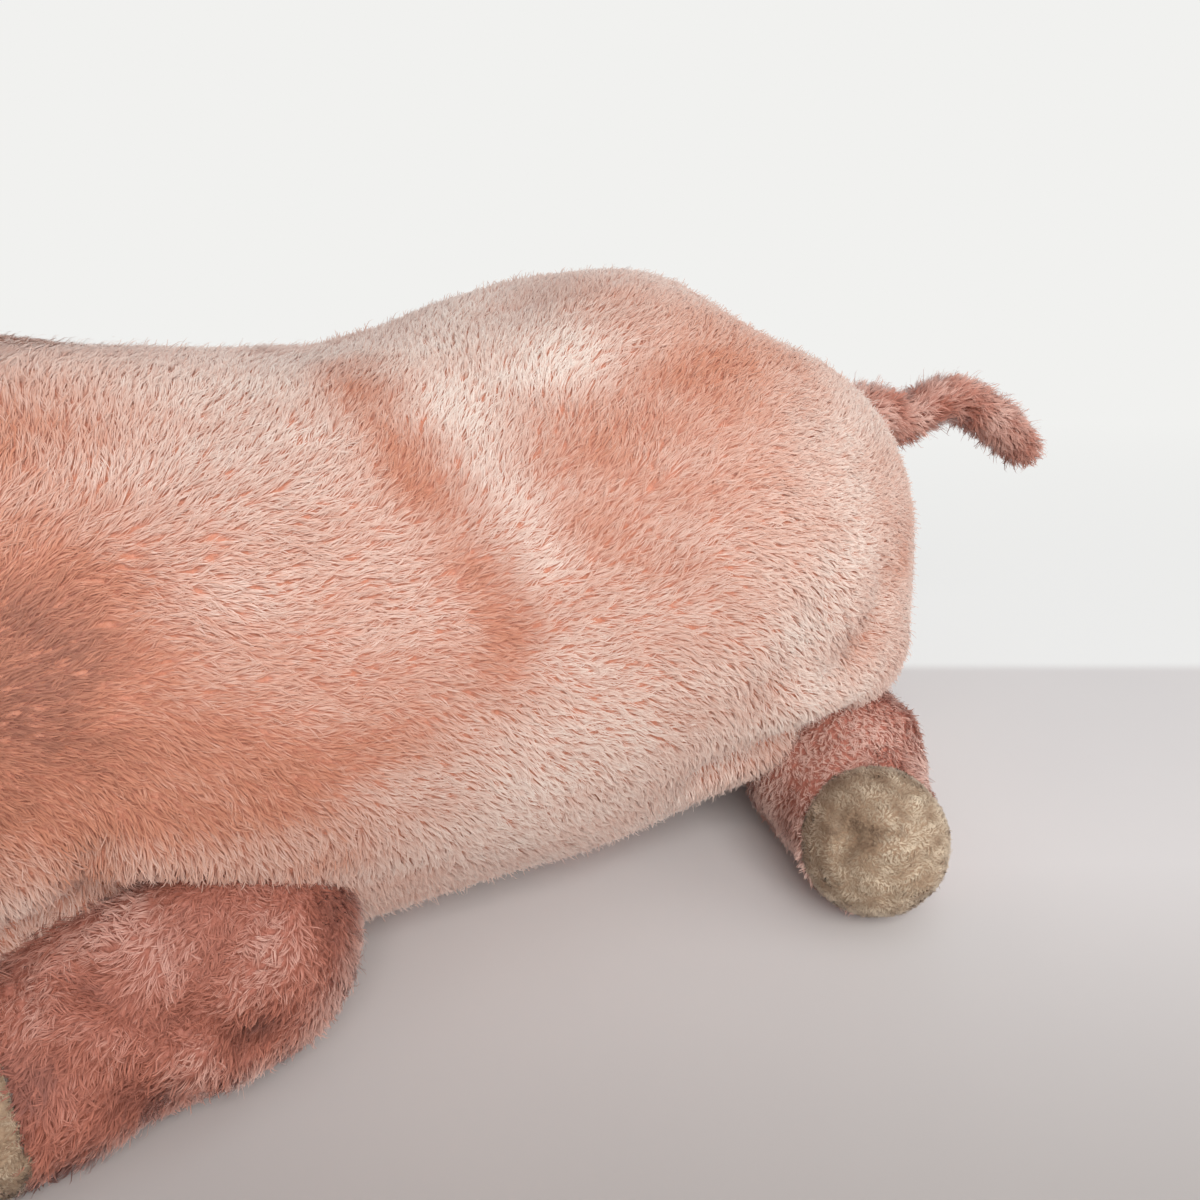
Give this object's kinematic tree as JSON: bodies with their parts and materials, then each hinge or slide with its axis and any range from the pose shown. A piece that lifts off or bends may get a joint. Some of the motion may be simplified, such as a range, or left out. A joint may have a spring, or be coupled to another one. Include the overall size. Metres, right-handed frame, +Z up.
{
  "type": "plush pig",
  "caption": "Soft stuffed pig lying on its belly, long bolster body, splayed stub legs with padded hooves, curly tail, flop ears and a snout.",
  "frame": {"origin": "on the table, in the middle of the flat of the belly", "axes": "+X toward the tail along the length of the body, -X toward the snout, -Y toward the pig's left side, +Z up"},
  "size_m": [0.5212, 0.2262, 0.1724],
  "materials": {
    "pink_plush": "long silky pile, pink with paler tips",
    "pale_lining": "short pile",
    "taupe_cloth": "short dense pile, taupe",
    "white_fibre": "loose polyester fibre",
    "black_plastic": "gloss",
    "washer_plastic": "satin",
    "brown_thread": "sewing thread"
  },
  "bodies": {
    "body": {"body_cover": "pink_plush", "body_stuffing": "white_fibre"},
    "head": {"head_cover": "pink_plush", "head_stuffing": "white_fibre", "snout_pad": "pale_lining", "nostril_left": "brown_thread", "nostril_right": "brown_thread", "eye_left": "black_plastic", "eye_right": "black_plastic", "eye_washer_left": "washer_plastic", "eye_washer_right": "washer_plastic"},
    "ear_left": {"ear_outer_left": "pink_plush", "ear_lining_left": "pale_lining"},
    "ear_right": {"ear_outer_right": "pink_plush", "ear_lining_right": "pale_lining"},
    "front_left_leg": {"front_left_leg_cover": "pink_plush", "front_left_leg_stuffing": "white_fibre", "front_left_hoof_cap": "taupe_cloth", "front_left_hoof_stitch": "brown_thread"},
    "front_right_leg": {"front_right_leg_cover": "pink_plush", "front_right_leg_stuffing": "white_fibre", "front_right_hoof_cap": "taupe_cloth", "front_right_hoof_stitch": "brown_thread"},
    "rear_left_leg": {"rear_left_leg_cover": "pink_plush", "rear_left_leg_stuffing": "white_fibre", "rear_left_hoof_cap": "taupe_cloth", "rear_left_hoof_stitch": "brown_thread"},
    "rear_right_leg": {"rear_right_leg_cover": "pink_plush", "rear_right_leg_stuffing": "white_fibre", "rear_right_hoof_cap": "taupe_cloth", "rear_right_hoof_stitch": "brown_thread"},
    "tail": {"tail_cover": "pink_plush", "tail_core": "white_fibre"}
  },
  "joints": [
    {"name": "head_turn", "type": "hinge", "parent": "body", "child": "head", "pos_m": [-0.207, 0, 0.089], "axis": [0, 0, 1], "range_deg": [-25, 25], "stiffness_Nm_per_rad": 0.15},
    {"name": "ear_left_flop", "type": "hinge", "parent": "head", "child": "ear_left", "pos_m": [-0.223, -0.0461, 0.1335], "axis": [-1, 0, 0], "range_deg": [-10, 35], "stiffness_Nm_per_rad": 0.01},
    {"name": "ear_right_flop", "type": "hinge", "parent": "head", "child": "ear_right", "pos_m": [-0.223, 0.0461, 0.1335], "axis": [1, 0, 0], "range_deg": [-10, 35], "stiffness_Nm_per_rad": 0.01},
    {"name": "front_left_leg_swing", "type": "hinge", "parent": "body", "child": "front_left_leg", "pos_m": [-0.099, -0.06, 0.0302], "axis": [0, 0, 1], "range_deg": [-8, 32], "stiffness_Nm_per_rad": 0.05},
    {"name": "front_right_leg_swing", "type": "hinge", "parent": "body", "child": "front_right_leg", "pos_m": [-0.099, 0.06, 0.0302], "axis": [0, 0, -1], "range_deg": [-8, 32], "stiffness_Nm_per_rad": 0.05},
    {"name": "rear_left_leg_swing", "type": "hinge", "parent": "body", "child": "rear_left_leg", "pos_m": [0.092, -0.056, 0.0262], "axis": [0, 0, 1], "range_deg": [-20, 25], "stiffness_Nm_per_rad": 0.05},
    {"name": "rear_right_leg_swing", "type": "hinge", "parent": "body", "child": "rear_right_leg", "pos_m": [0.092, 0.056, 0.0262], "axis": [0, 0, -1], "range_deg": [-20, 25], "stiffness_Nm_per_rad": 0.05},
    {"name": "tail_wag", "type": "hinge", "parent": "body", "child": "tail", "pos_m": [0.13635, 0, 0.119], "axis": [0, 0, 1], "range_deg": [-35, 35], "stiffness_Nm_per_rad": 0.004}
  ]
}
